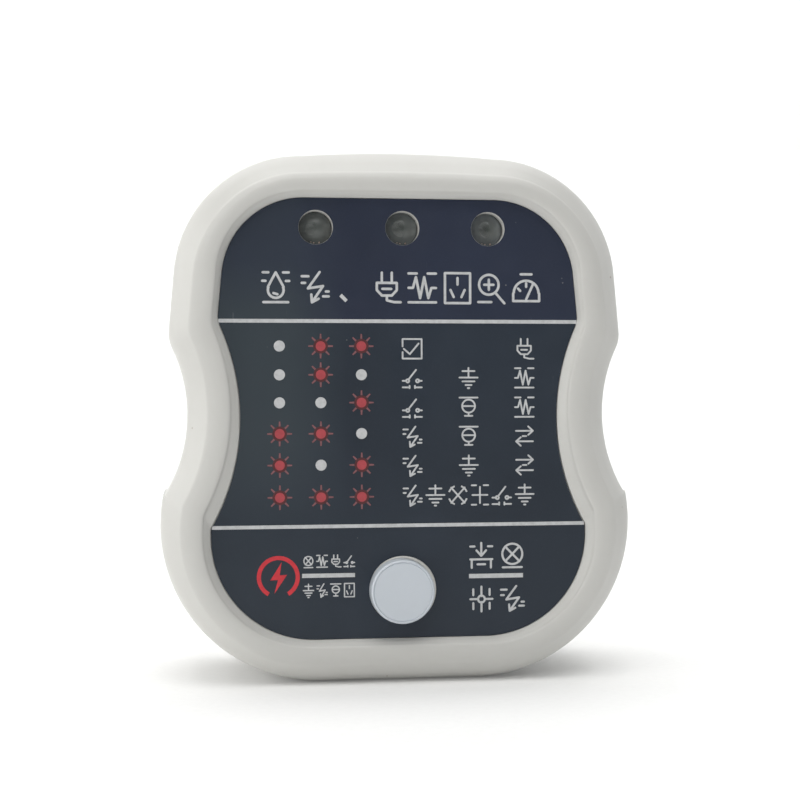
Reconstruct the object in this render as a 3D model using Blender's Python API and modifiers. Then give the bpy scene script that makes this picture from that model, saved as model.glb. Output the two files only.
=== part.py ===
"""Outlet tester plug: a three-pin plug-in socket tester with three indicator LEDs and a leakage test button.

Frame: +X to the right seen from the front, +Y into the wall, +Z up.
Origin: centre of the pin pattern on the rear seating face.
All driving dimensions below are in millimetres.
"""

import math

import bmesh
import bpy
from mathutils import Matrix

for old in list(bpy.data.objects):
    bpy.data.objects.remove(old, do_unlink=True)

MM = 0.001
GAP = 0.3  # clearance kept between neighbouring pieces

# ---- depth stations along Y (negative is towards the user) ----
Y_CREST = -30.0  # top of the raised rim
Y_LABEL = -28.4  # face of the label
LABEL_THICK = 0.8
FLOOR_THICK = 2.0
Y_POCKET = Y_LABEL + LABEL_THICK + GAP  # floor of the label recess
Y_FLOOR_BACK = Y_POCKET + FLOOR_THICK
Y_SPLIT = -12.5  # parting line of the two shells
BACK_THICK = 2.0
Y_BOARD_FRONT = -16.0
Y_BOARD_BACK = -14.4

# ---- case outlines: half profiles built from arcs, symmetric about X = 0 ----
OUTER = dict(
    top=40.43, crown=0.55, x_up=33.92, r_up=19.27, kink_up=(34.76, 12.0),
    waist=(31.94, 0.7), kink_low=(35.3, -11.4), x_low=36.01, r_low=23.88, bottom=-39.70,
)
CREST = dict(
    top=33.75, crown=0.1, x_up=27.25, r_up=12.6, kink_up=(27.9, 14.2),
    waist=(25.15, 0.6), kink_low=(29.25, -14.3), x_low=29.3, r_low=15.9, bottom=-33.57,
)
LABEL = dict(
    top=33.16, crown=0.0, x_up=26.75, r_up=12.38, kink_up=(27.38, 14.74),
    waist=(24.06, 0.75), kink_low=(28.44, -16.33), x_low=28.45, r_low=15.47, bottom=-33.09,
)
RIM = 6.7  # distance from the outer edge to the rim's inner edge

# rim section: (distance in from the outer edge, depth below the crest)
RIM_SECTION = [(0.0, 4.2), (0.28, 3.42), (1.3, 2.06), (2.85, 0.63), (3.65, 0.24), (5.0, 0.0), (5.9, 0.06), (6.5, 0.42)]

# ---- plug pins ----
PIN_WIDTH, PIN_THICK = 6.3, 1.5
PIN_RADIUS_LN, PIN_RADIUS_E = 7.92, 10.31  # pin centres from the origin
PIN_LENGTH_LN, PIN_LENGTH_E = 18.0, 21.0
PIN_SHOULDER, PIN_TAIL = 8.4, 3.0
PINS = {
    # name: (x, z, turn of the blade about Y in degrees, length)
    "pin_live": (PIN_RADIUS_LN * math.cos(math.radians(30)), -PIN_RADIUS_LN * 0.5, -60, PIN_LENGTH_LN),
    "pin_neutral": (-PIN_RADIUS_LN * math.cos(math.radians(30)), -PIN_RADIUS_LN * 0.5, -120, PIN_LENGTH_LN),
    "pin_earth": (0.0, PIN_RADIUS_E, -90, PIN_LENGTH_E),
}

# ---- indicators ----
LED_X, LED_Z, LED_PITCH = 0.4, 28.75, 13.1
LED_R, LED_TIP, LED_BASE = 2.5, -28.2, -19.6
LED_HOLE_R = 2.6
LEAD_PITCH = 2.54
LEDS = {"left": LED_X - LED_PITCH, "centre": LED_X, "right": LED_X + LED_PITCH}

# ---- test button ----
BTN_X, BTN_Z = 0.1, -25.85
BTN_R, BTN_FRONT, BTN_TRAVEL = 4.7, -31.2, 1.5
COLLAR_IN, COLLAR_OUT, Y_COLLAR = 4.93, 5.2, -28.55
SWITCH_SIZE, SWITCH_FRONT = 7.0, -20.8
PLUNGER_R = 1.6

# ---- fixings ----
CASE_BOSSES = [(-24.0, 27.0), (24.0, 27.0), (-25.0, -25.0), (25.0, -25.0)]
BOARD_BOSSES = [(-16.0, 12.0), (16.0, -12.0)]
CARRIER_BOSSES = [(-11.5, 8.0), (11.5, 8.0)]

# ---- board components on the back of the board ----
RESISTORS = [(-8.5, 18.0), (-8.5, 21.5), (-8.5, 25.0)]
DIODES = [(9.0, 18.0), (9.0, 21.5), (9.0, 25.0)]
POWER_RESISTOR = (0.0, -20.5)

parts = bpy.data.collections.new("outlet_tester_plug")
cutters = bpy.data.collections.new("cutters")
bpy.context.scene.collection.children.link(parts)
bpy.context.scene.collection.children.link(cutters)


def material(name, colour, roughness, metallic=0.0, alpha=1.0):
    mat = bpy.data.materials.new(name)
    mat.use_nodes = True
    shader = mat.node_tree.nodes["Principled BSDF"]
    shader.inputs["Base Color"].default_value = (*colour, 1.0)
    shader.inputs["Roughness"].default_value = roughness
    shader.inputs["Metallic"].default_value = metallic
    shader.inputs["Alpha"].default_value = alpha
    return mat


CASE = material("case_abs", (0.68, 0.66, 0.62), 0.5)
LABEL_FILM = material("label_film", (0.035, 0.042, 0.055), 0.4)
LED_RESIN = material("led_resin", (0.62, 0.66, 0.68), 0.12)
BUTTON = material("button_abs", (0.55, 0.6, 0.65), 0.35)
BRASS = material("pin_brass", (0.78, 0.6, 0.3), 0.3, 1.0)
TINNED = material("tinned_copper", (0.75, 0.75, 0.73), 0.35, 1.0)
STEEL = material("screw_steel", (0.6, 0.6, 0.58), 0.35, 1.0)
SPRING_STEEL = material("spring_steel", (0.55, 0.55, 0.55), 0.3, 1.0)
BOARD = material("board_laminate", (0.5, 0.38, 0.16), 0.6)
BLACK = material("black_moulding", (0.02, 0.02, 0.022), 0.5)
GREY = material("grey_moulding", (0.3, 0.3, 0.31), 0.5)
RESISTOR_BLUE = material("resistor_body", (0.25, 0.5, 0.62), 0.45)
POWER_GREY = material("power_resistor_body", (0.35, 0.42, 0.46), 0.6)
WIRE_RED = material("wire_red", (0.55, 0.03, 0.02), 0.4)
WIRE_BLUE = material("wire_blue", (0.03, 0.12, 0.5), 0.4)
WIRE_GREEN = material("wire_green", (0.1, 0.4, 0.08), 0.4)


# ---------------------------------------------------------------- helpers
def place(name, mesh, mat, collection=parts):
    obj = bpy.data.objects.new(name, mesh)
    collection.objects.link(obj)
    if mat is not None:
        obj.data.materials.append(mat)
    if collection is cutters:
        obj.hide_render = True
        obj.display_type = "WIRE"
    return obj


def mesh_from(bm, name):
    mesh = bpy.data.meshes.new(name)
    bm.normal_update()
    bm.to_mesh(mesh)
    bm.free()
    return mesh


def smooth(obj, angle=35):
    obj.data.shade_smooth()
    obj.data.set_sharp_from_angle(angle=math.radians(angle))
    return obj


def cylinder(name, radius, y0, y1, x, z, mat=None, collection=parts, sides=24):
    """A round bar along Y, from y0 to y1."""
    bm = bmesh.new()
    bmesh.ops.create_cone(bm, cap_ends=True, segments=sides, radius1=radius * MM, radius2=radius * MM, depth=abs(y1 - y0) * MM)
    bmesh.ops.rotate(bm, verts=bm.verts, matrix=Matrix.Rotation(math.radians(90), 3, "X"))
    obj = place(name, mesh_from(bm, name), mat, collection)
    obj.location = (x * MM, (y0 + y1) / 2 * MM, z * MM)
    return smooth(obj)


def block(name, size, centre, mat=None, collection=parts, turn=0.0, edge_round=0.0, along=None):
    """A box; edge_round rounds the edges that run along the named axis, or all of them."""
    bm = bmesh.new()
    bmesh.ops.create_cube(bm, size=1.0)
    bmesh.ops.scale(bm, vec=[s * MM for s in size], verts=bm.verts)
    if edge_round:
        edges = bm.edges[:]
        if along is not None:
            axis = "XYZ".index(along)
            edges = [e for e in edges if abs((e.verts[0].co - e.verts[1].co)[axis]) > 1e-6]
        bmesh.ops.bevel(bm, geom=edges, offset=edge_round * MM, segments=3, profile=0.5, affect="EDGES")
    obj = place(name, mesh_from(bm, name), mat, collection)
    obj.location = [c * MM for c in centre]
    obj.rotation_euler = (0.0, math.radians(turn), 0.0)
    return obj


def turned(name, profile, x, z, mat, steps=24, collection=parts):
    """A turned shape about Y: profile points are (radius, y), from the front end to the back end."""
    mesh = bpy.data.meshes.new(name)
    bm = bmesh.new()
    points = [bm.verts.new((r * MM, 0.0, -y * MM)) for r, y in profile]
    for a, b in zip(points, points[1:]):
        bm.edges.new((a, b))
    bm.to_mesh(mesh)
    bm.free()
    obj = place(name, mesh, mat, collection)
    screw = obj.modifiers.new("turn", "SCREW")
    screw.axis = "Z"
    screw.angle = math.tau
    screw.steps = screw.render_steps = steps
    screw.use_merge_vertices = True
    screw.merge_threshold = 0.00001
    screw.use_smooth_shade = True
    obj.rotation_euler = (math.radians(90), 0.0, 0.0)
    obj.location = (x * MM, 0.0, z * MM)
    return obj


def as_mesh(curve_obj, weld=0.00001):
    """Turns a finished curve object into a mesh object of the same name, with its caps welded."""
    bpy.context.view_layer.update()
    graph = bpy.context.evaluated_depsgraph_get()
    mesh = bpy.data.meshes.new_from_object(curve_obj.evaluated_get(graph))
    bm = bmesh.new()
    bm.from_mesh(mesh)
    bmesh.ops.remove_doubles(bm, verts=bm.verts, dist=weld)
    bm.to_mesh(mesh)
    bm.free()
    name, matrix, home = curve_obj.name, curve_obj.matrix_world.copy(), curve_obj.users_collection[0]
    mats = list(curve_obj.data.materials)
    bpy.data.objects.remove(curve_obj, do_unlink=True)
    obj = bpy.data.objects.new(name, mesh)
    home.objects.link(obj)
    obj.matrix_world = matrix
    obj.data.materials.clear()
    for mat in mats:
        obj.data.materials.append(mat)
    return obj


def plate(name, points, thick, mat):
    """A flat outline in the curve's own XY plane, extruded to its thickness; points along a straight edge are dropped."""
    around = list(zip(points[-1:] + points[:-1], points, points[1:] + points[:1]))
    points = [b for a, b, c in around if abs((b[0] - a[0]) * (c[1] - a[1]) - (b[1] - a[1]) * (c[0] - a[0])) > 0.2]
    curve = bpy.data.curves.new(name, "CURVE")
    curve.dimensions = "2D"
    curve.fill_mode = "BOTH"
    curve.extrude = thick / 2 * MM
    spline = curve.splines.new("POLY")
    spline.points.add(len(points) - 1)
    for point, (u, v) in zip(spline.points, points):
        point.co = (u * MM, v * MM, 0.0, 1.0)
    spline.use_cyclic_u = True
    curve.materials.append(mat)
    obj = bpy.data.objects.new(name, curve)
    parts.objects.link(obj)
    return obj


def tube(name, points, radius, mat, sides=2):
    """A wire along a path of points, with filled ends."""
    curve = bpy.data.curves.new(name, "CURVE")
    curve.dimensions = "3D"
    curve.bevel_depth = radius * MM
    curve.bevel_resolution = sides
    curve.use_fill_caps = True
    spline = curve.splines.new("POLY")
    spline.points.add(len(points) - 1)
    for point, co in zip(spline.points, points):
        point.co = (co[0] * MM, co[1] * MM, co[2] * MM, 1.0)
    curve.materials.append(mat)
    obj = bpy.data.objects.new(name, curve)
    parts.objects.link(obj)
    return obj


def cut(obj, tool, operation="DIFFERENCE"):
    mod = obj.modifiers.new(operation.lower(), "BOOLEAN")
    mod.operation = operation
    mod.solver = "EXACT"
    mod.object = tool
    return obj


def bezier_path(knots, per=6):
    """Points of a smooth path through the knots."""
    out = []
    n = len(knots)
    for i in range(n - 1):
        p0, p1, p2, p3 = knots[max(i - 1, 0)], knots[i], knots[i + 1], knots[min(i + 2, n - 1)]
        for k in range(per):
            t = k / per
            out.append(tuple(
                0.5 * (2 * b + (c - a) * t + (2 * a - 5 * b + 4 * c - d) * t * t + (3 * b - a - 3 * c + d) * t ** 3)
                for a, b, c, d in zip(p0, p1, p2, p3)
            ))
    out.append(knots[-1])
    return out


# ---------------------------------------------------------------- case outlines
def arc(cx, cz, r, a0, a1, n):
    """n points after the first, from angle a0 to a1 in degrees."""
    return [
        (cx + r * math.cos(math.radians(a0 + (a1 - a0) * i / n)), cz + r * math.sin(math.radians(a0 + (a1 - a0) * i / n)))
        for i in range(1, n + 1)
    ]


def arc_through(p0, p1, p2, n):
    """n points after the first along the circle through three points."""
    (ax, az), (bx, bz), (cx, cz) = p0, p1, p2
    d = 2 * (ax * (bz - cz) + bx * (cz - az) + cx * (az - bz))
    ux = ((ax * ax + az * az) * (bz - cz) + (bx * bx + bz * bz) * (cz - az) + (cx * cx + cz * cz) * (az - bz)) / d
    uz = ((ax * ax + az * az) * (cx - bx) + (bx * bx + bz * bz) * (ax - cx) + (cx * cx + cz * cz) * (bx - ax)) / d
    a0 = math.degrees(math.atan2(az - uz, ax - ux)) % 360
    a2 = math.degrees(math.atan2(cz - uz, cx - ux)) % 360
    return arc(ux, uz, math.hypot(ax - ux, az - uz), a0, a2, n)


def outline(o):
    """The closed outline: crowned top, two corner arcs a side and a concave waist between two kinks."""
    xt = o["x_up"] - o["r_up"]
    half = [(xt * i / 2, o["top"] - o["crown"] * (i / 2) ** 2) for i in range(3)]
    cz = o["top"] - o["crown"] - o["r_up"]
    dx, dz = o["kink_up"][0] - xt, o["kink_up"][1] - cz
    reach = math.hypot(dx, dz)
    end = math.degrees(math.atan2(dz, dx)) + math.degrees(math.acos(min(1.0, o["r_up"] / reach)))
    half += arc(xt, cz, o["r_up"], 90, end, 7)
    half.append(o["kink_up"])
    half += arc_through(o["kink_up"], o["waist"], o["kink_low"], 7)
    xl, zl = o["x_low"] - o["r_low"], o["bottom"] + o["r_low"]
    dx, dz = o["kink_low"][0] - xl, o["kink_low"][1] - zl
    reach = math.hypot(dx, dz)
    start = math.degrees(math.atan2(dz, dx)) - math.degrees(math.acos(min(1.0, o["r_low"] / reach)))
    half.append((xl + o["r_low"] * math.cos(math.radians(start)), zl + o["r_low"] * math.sin(math.radians(start))))
    half += arc(xl, zl, o["r_low"], start, -90, 8)
    half.append((0.0, o["bottom"]))
    return half + [(-x, z) for x, z in reversed(half[1:-1])]


LOOP_OUT, LOOP_CREST, LOOP_LABEL = outline(OUTER), outline(CREST), outline(LABEL)


def between(a, b, t):
    return [(p[0] + (q[0] - p[0]) * t, p[1] + (q[1] - p[1]) * t) for p, q in zip(a, b)]


def rim_ring(inset, y):
    """The case outline moved in by inset (the rim's inner edge is at RIM), at depth y."""
    return [(x, y, z) for x, z in between(LOOP_OUT, LOOP_CREST, inset / RIM)]


def loft(name, rings, mat):
    """One closed skin through a row of rings that have the same number of points, capped at both ends."""
    bm = bmesh.new()
    rows = [[bm.verts.new([c * MM for c in p]) for p in ring] for ring in rings]
    for a, b in zip(rows, rows[1:]):
        for i in range(len(a)):
            j = (i + 1) % len(a)
            bm.faces.new((a[i], a[j], b[j], b[i]))
    bm.faces.new(rows[0])
    bm.faces.new(rows[-1])
    bmesh.ops.recalc_face_normals(bm, faces=bm.faces)
    obj = place(name, mesh_from(bm, name), mat)
    return smooth(obj, 40)


# ---------------------------------------------------------------- front cover
front_rings = [rim_ring(5.9, Y_FLOOR_BACK), rim_ring(5.8, -27.4), rim_ring(4.8, -27.8), rim_ring(3.2, -27.6), rim_ring(2.2, -25.6), rim_ring(2.0, Y_SPLIT)]
front_rings += [rim_ring(-0.2, Y_SPLIT)]
front_rings += [rim_ring(s, Y_CREST + h) for s, h in RIM_SECTION]
front_rings += [[(x, Y_POCKET, z) for x, z in between(LOOP_LABEL, LOOP_CREST, 0.2)]]
front_cover = loft("front_cover", front_rings, CASE)

for i, (x, z) in enumerate(CASE_BOSSES):
    cut(front_cover, cylinder(f"add_case_boss_{i}", 3.0, -26.4, Y_SPLIT + 0.5, x, z, collection=cutters, sides=16), "UNION")
for i, (x, z) in enumerate(BOARD_BOSSES):
    cut(front_cover, cylinder(f"add_board_boss_{i}", 2.5, -26.4, Y_BOARD_FRONT - GAP, x, z, collection=cutters, sides=16), "UNION")
cut(front_cover, cylinder("add_collar", COLLAR_OUT, Y_COLLAR, -26.4, BTN_X, BTN_Z, collection=cutters, sides=32), "UNION")
for i, (x, z) in enumerate(CASE_BOSSES):
    cut(front_cover, cylinder(f"cut_case_pilot_{i}", 1.3, -21.0, -10.0, x, z, collection=cutters, sides=12))
for i, (x, z) in enumerate(BOARD_BOSSES):
    cut(front_cover, cylinder(f"cut_board_pilot_{i}", 1.15, -23.0, -15.0, x, z, collection=cutters, sides=12))
for side, x in LEDS.items():
    cut(front_cover, cylinder(f"cut_led_{side}", LED_R + 0.35, -29.0, -24.0, x, LED_Z, collection=cutters, sides=20))
cut(front_cover, cylinder("cut_button", COLLAR_IN, -32.0, -24.0, BTN_X, BTN_Z, collection=cutters, sides=32))

# ---------------------------------------------------------------- rear cover
rear_rings = [
    rim_ring(4.5, -BACK_THICK), rim_ring(2.5, -2.9), rim_ring(2.0, -9.9), rim_ring(3.4, -10.9), rim_ring(3.4, -14.0),
    rim_ring(2.4, -14.0), rim_ring(2.4, Y_SPLIT + GAP), rim_ring(-0.2, Y_SPLIT + GAP), rim_ring(0.2, -3.4),
    rim_ring(0.7, -1.5), rim_ring(1.6, -0.5), rim_ring(3.0, 0.0),
]
rear_cover = loft("rear_cover", rear_rings, CASE)
for i, (x, z) in enumerate(CASE_BOSSES):
    cut(rear_cover, cylinder(f"add_rear_boss_{i}", 3.7, -11.7, -1.0, x, z, collection=cutters, sides=16), "UNION")
for i, (x, z) in enumerate(CARRIER_BOSSES):
    cut(rear_cover, cylinder(f"add_carrier_boss_{i}", 2.4, -4.3, -1.0, x, z, collection=cutters, sides=16), "UNION")
for i, (x, z) in enumerate(CASE_BOSSES):
    cut(rear_cover, cylinder(f"cut_rear_head_{i}", 2.7, -5.7, 1.0, x, z, collection=cutters, sides=16))
    cut(rear_cover, cylinder(f"cut_rear_shank_{i}", 1.4, -13.0, -5.0, x, z, collection=cutters, sides=12))
for i, (x, z) in enumerate(CARRIER_BOSSES):
    cut(rear_cover, cylinder(f"cut_carrier_pilot_{i}", 1.1, -5.0, -0.9, x, z, collection=cutters, sides=12))
for name, (x, z, turn, _) in PINS.items():
    cut(rear_cover, block(f"cut_{name}", (PIN_WIDTH + 2 * GAP, 6.0, PIN_THICK + 2 * GAP), (x, -1.0, z), collection=cutters, turn=turn))

# ---------------------------------------------------------------- label plate
label = plate("label_plate", between(LOOP_LABEL, LOOP_CREST, -0.2), LABEL_THICK, LABEL_FILM)
label.rotation_euler = (math.radians(90), 0.0, 0.0)
label.location = (0.0, (Y_LABEL + LABEL_THICK / 2) * MM, 0.0)
label = as_mesh(label)
for side, x in LEDS.items():
    cut(label, cylinder(f"cut_window_{side}", LED_HOLE_R, -30.0, -26.0, x, LED_Z, collection=cutters, sides=24))
cut(label, cylinder("cut_label_button", COLLAR_OUT + GAP, -30.0, -26.0, BTN_X, BTN_Z, collection=cutters, sides=32))

# ---------------------------------------------------------------- LEDs, their leads and the spacer bar
dome_y = LED_TIP + LED_R
led_profile = [(LED_R * math.sin(math.radians(a)), dome_y - LED_R * math.cos(math.radians(a))) for a in (0, 18, 36, 54, 72, 90)]
led_profile[0] = (0.0, LED_TIP)
led_profile += [(LED_R, LED_BASE - 1.0), (LED_R + 0.4, LED_BASE - 1.0), (LED_R + 0.4, LED_BASE), (0.0, LED_BASE)]
spacer = block("led_spacer", (2 * LED_PITCH + 7.0, 3.0, 6.0), (LED_X, -17.8, LED_Z), BLACK, edge_round=0.8, along="Y")
board = block(
    "circuit_board", (40.0, Y_BOARD_BACK - Y_BOARD_FRONT, 66.0), (0.0, (Y_BOARD_FRONT + Y_BOARD_BACK) / 2, 0.0), BOARD, edge_round=2.0, along="Y"
)
for side, x in LEDS.items():
    turned(f"led_{side}", led_profile, x, LED_Z, LED_RESIN, steps=18)
    for letter, dx in (("a", -LEAD_PITCH / 2), ("b", LEAD_PITCH / 2)):
        cylinder(f"led_{side}_lead_{letter}", 0.28, LED_BASE + GAP, -13.6, x + dx, LED_Z, TINNED, sides=8)
        hole = cylinder(f"cut_lead_{side}_{letter}", 0.62, -20.0, -13.0, x + dx, LED_Z, collection=cutters, sides=6)
        cut(spacer, hole)
        cut(board, hole)

# ---------------------------------------------------------------- test button, spring and switch
turned(
    "button_cap",
    [(0.0, BTN_FRONT), (2.6, BTN_FRONT + 0.02), (3.7, BTN_FRONT + 0.07), (4.3, BTN_FRONT + 0.2), (4.6, BTN_FRONT + 0.45),
     (BTN_R, BTN_FRONT + 0.9), (BTN_R, -25.0), (5.2, -25.0), (5.2, -24.4), (3.2, -24.4), (3.2, -25.9), (0.0, -25.9)],
    BTN_X, BTN_Z, BUTTON, steps=28,
)
turned("switch_plunger", [(0.0, -25.6), (PLUNGER_R, -25.6), (PLUNGER_R, -19.3), (0.0, -19.3)], BTN_X, BTN_Z, BLACK, steps=16)
switch = block("switch_body", (SWITCH_SIZE, 4.5, SWITCH_SIZE), (BTN_X, SWITCH_FRONT + 2.25, BTN_Z), GREY, edge_round=0.3, along="Y")
for i, (dx, dz) in enumerate([(-2.25, -2.5), (2.25, -2.5), (-2.25, 2.5), (2.25, 2.5)]):
    cut(switch, block(f"add_switch_leg_{i}", (0.6, 3.0, 0.4), (BTN_X + dx, -15.4, BTN_Z + dz), collection=cutters), "UNION")
    cut(board, cylinder(f"cut_switch_leg_{i}", 0.7, -17.0, -13.0, BTN_X + dx, BTN_Z + dz, collection=cutters, sides=6))
cut(switch, cylinder("cut_plunger_bore", PLUNGER_R + 0.35, -22.0, -17.4, BTN_X, BTN_Z, collection=cutters, sides=16))

COIL_R, COIL_WIRE, COIL_TURNS, COIL_Y0, COIL_Y1 = 2.45, 0.2, 5.0, -25.35, -21.35
coil = []
steps = int(COIL_TURNS * 10)
for i in range(steps + 1):
    turn = i / steps * COIL_TURNS
    # the end turns lie flat, the middle ones climb
    climb = min(max((turn - 0.6) / (COIL_TURNS - 1.2), 0.0), 1.0)
    flat = 0.4 * (min(turn, 0.6) + max(turn - COIL_TURNS + 0.6, 0.0)) / 1.2
    y = COIL_Y0 + (COIL_Y1 - COIL_Y0 - 0.4) * climb + flat
    a = turn * math.tau
    coil.append((BTN_X + COIL_R * math.cos(a), y, BTN_Z + COIL_R * math.sin(a)))
tube("button_spring", coil, COIL_WIRE, SPRING_STEEL, sides=1)

# ---------------------------------------------------------------- pins, carrier and wires
for name, (x, z, turn, length) in PINS.items():
    half, wide, tail = PIN_WIDTH / 2, PIN_SHOULDER / 2, PIN_TAIL / 2
    side = [(tail, -8.0), (tail, -4.3), (wide, -4.3), (wide, -2.3), (half, -2.3), (half, length - 1.2), (half - 0.9, length)]
    pin = plate(name, side + [(-u, v) for u, v in reversed(side)], PIN_THICK, BRASS)
    pin.rotation_euler = (0.0, math.radians(turn), 0.0)
    pin.location = (x * MM, 0.0, z * MM)
    pin = as_mesh(pin)
    edge = pin.modifiers.new("edge", "BEVEL")
    edge.width = 0.2 * MM
    edge.segments = 1
    edge.limit_method = "ANGLE"

carrier = block("pin_carrier", (30.0, 2.5, 26.5), (0.0, -5.85, 2.75), BLACK, edge_round=3.0, along="Y")
for name, (x, z, turn, _) in PINS.items():
    cut(carrier, block(f"cut_tail_{name}", (PIN_TAIL + 2 * GAP, 6.0, PIN_THICK + 2 * GAP), (x, -6.0, z), collection=cutters, turn=turn))
for i, (x, z) in enumerate(CARRIER_BOSSES):
    cut(carrier, cylinder(f"cut_carrier_{i}", 1.25, -9.0, -3.0, x, z, collection=cutters, sides=12))

lx, lz = PINS["pin_live"][:2]
tube("wire_live", bezier_path([(lx, -8.35, lz), (lx + 0.6, -9.6, lz - 0.5), (lx + 3.2, -11.0, lz - 2.4), (12.0, -12.4, -8.0), (12.0, -14.05, -8.0)], 4), 0.8, WIRE_RED)
tube("wire_neutral", bezier_path([(-lx, -8.35, lz), (-lx - 0.6, -9.6, lz - 0.5), (-lx - 3.2, -11.0, lz - 2.4), (-12.0, -12.4, -8.0), (-12.0, -14.05, -8.0)], 4), 0.8, WIRE_BLUE)
ez = PINS["pin_earth"][1]
tube("wire_earth", bezier_path([(0.0, -8.35, ez), (0.0, -9.6, ez + 0.4), (0.0, -11.2, ez + 2.6), (0.0, -12.6, 15.0), (0.0, -14.05, 15.0)], 4), 0.8, WIRE_GREEN)


# ---------------------------------------------------------------- axial components on the back of the board
def axial(name, x, z, length, radius, pitch, mat, ends):
    """A body along X that stands on two leads bent into the board; ends is how much fatter its ends are."""
    axis = Y_BOARD_BACK + 0.6 + radius
    r = radius - 0.3
    bend = 0.8
    half = pitch / 2
    corner = [(half - bend + bend * math.sin(math.radians(a)), axis - bend + bend * math.cos(math.radians(a))) for a in (0, 30, 60, 90)]
    right = corner + [(half, Y_BOARD_BACK - 1.4)]
    path = [(x - u, v, z) for u, v in reversed(right)] + [(x + u, v, z) for u, v in right]
    leads = as_mesh(tube(name, path, 0.3, mat, sides=1))
    body = turned(
        f"add_{name}",
        [(0.0, -length / 2), (radius * 0.6, -length / 2), (radius, -length / 2 + 0.5), (radius, -length / 2 + 1.8), (r if ends else radius, -length / 2 + 2.3),
         (r if ends else radius, length / 2 - 2.3), (radius, length / 2 - 1.8), (radius, length / 2 - 0.5), (radius * 0.6, length / 2), (0.0, length / 2)],
        0.0, 0.0, None, steps=12, collection=cutters,
    )
    body.rotation_euler = (0.0, math.radians(90), 0.0)
    body.location = (x * MM, axis * MM, z * MM)
    cut(leads, body, "UNION")
    for i, u in enumerate((-half, half)):
        cut(board, cylinder(f"cut_{name}_{i}", 0.62, -17.0, -13.0, x + u, z, collection=cutters, sides=6))
    return smooth(leads)


for i, (x, z) in enumerate(RESISTORS):
    axial(f"resistor_{i + 1}", x, z, 9.0, 1.5, 12.7, RESISTOR_BLUE, True)
for i, (x, z) in enumerate(DIODES):
    axial(f"diode_{i + 1}", x, z, 5.2, 1.35, 10.16, BLACK, False)
axial("power_resistor", *POWER_RESISTOR, 15.0, 2.5, 20.32, POWER_GREY, True)

# ---------------------------------------------------------------- screws
for i, (x, z) in enumerate(BOARD_BOSSES):
    cut(board, cylinder(f"cut_board_screw_{i}", 1.25, -17.0, -13.0, x, z, collection=cutters, sides=12))


def screw(name, x, z, y_head, head_r, head_h, shank_r, length, towards=-1):
    """A pan-head screw driven towards -Y or +Y: its head's bearing face is at y_head."""
    section = [
        (0.0, length), (shank_r * 0.5, length - 0.2), (shank_r, length - 1.4), (shank_r, 0.0),
        (head_r, 0.0), (head_r, -head_h * 0.55), (head_r * 0.72, -head_h * 0.95), (0.0, -head_h),
    ]
    profile = [(r, y_head + towards * u) for r, u in section]
    obj = turned(name, profile if towards < 0 else profile[::-1], x, z, STEEL, steps=12)
    for k, turn in enumerate((45, -45)):
        slot = (head_r * 1.15, head_h * 1.2, head_r * 0.22)
        cut(obj, block(f"cut_{name}_{k}", slot, (x, y_head - towards * head_h, z), collection=cutters, turn=turn))
    return obj


for i, (x, z) in enumerate(CASE_BOSSES):
    screw(f"case_screw_{i + 1}", x, z, -5.4, 2.3, 1.7, 1.0, 13.0)
for i, (x, z) in enumerate(BOARD_BOSSES):
    screw(f"board_screw_{i + 1}", x, z, Y_BOARD_BACK + GAP, 2.0, 1.4, 0.85, 8.0)
for i, (x, z) in enumerate(CARRIER_BOSSES):
    screw(f"carrier_screw_{i + 1}", x, z, -7.1 - GAP, 2.0, 1.4, 0.75, 6.0, towards=1)
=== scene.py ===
"""Looks of the outlet tester plug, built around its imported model. Lengths are in millimetres until they reach a mesh."""

import math

import bmesh
import bpy
import numpy as np
from mathutils import Matrix, Vector
from mathutils.geometry import delaunay_2d_cdt


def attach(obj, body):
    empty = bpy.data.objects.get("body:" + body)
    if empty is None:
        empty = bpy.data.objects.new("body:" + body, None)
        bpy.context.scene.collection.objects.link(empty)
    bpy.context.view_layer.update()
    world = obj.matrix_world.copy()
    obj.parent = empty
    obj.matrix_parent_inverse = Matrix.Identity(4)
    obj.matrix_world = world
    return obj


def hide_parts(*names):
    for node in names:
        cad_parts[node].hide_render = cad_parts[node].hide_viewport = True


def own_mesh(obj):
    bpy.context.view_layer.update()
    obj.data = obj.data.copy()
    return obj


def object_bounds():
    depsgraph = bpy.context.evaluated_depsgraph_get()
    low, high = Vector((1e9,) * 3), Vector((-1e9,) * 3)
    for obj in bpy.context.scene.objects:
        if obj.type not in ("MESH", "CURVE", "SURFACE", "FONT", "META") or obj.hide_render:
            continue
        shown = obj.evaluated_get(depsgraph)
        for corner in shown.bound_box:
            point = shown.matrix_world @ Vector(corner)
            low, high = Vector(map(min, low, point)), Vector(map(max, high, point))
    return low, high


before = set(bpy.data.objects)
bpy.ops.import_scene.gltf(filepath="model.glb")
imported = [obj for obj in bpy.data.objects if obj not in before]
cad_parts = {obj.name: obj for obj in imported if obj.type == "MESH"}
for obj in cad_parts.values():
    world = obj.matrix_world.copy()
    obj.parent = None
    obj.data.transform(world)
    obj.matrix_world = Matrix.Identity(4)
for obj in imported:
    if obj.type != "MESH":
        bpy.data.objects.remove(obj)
CAD_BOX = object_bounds()
MM = 0.001

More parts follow.
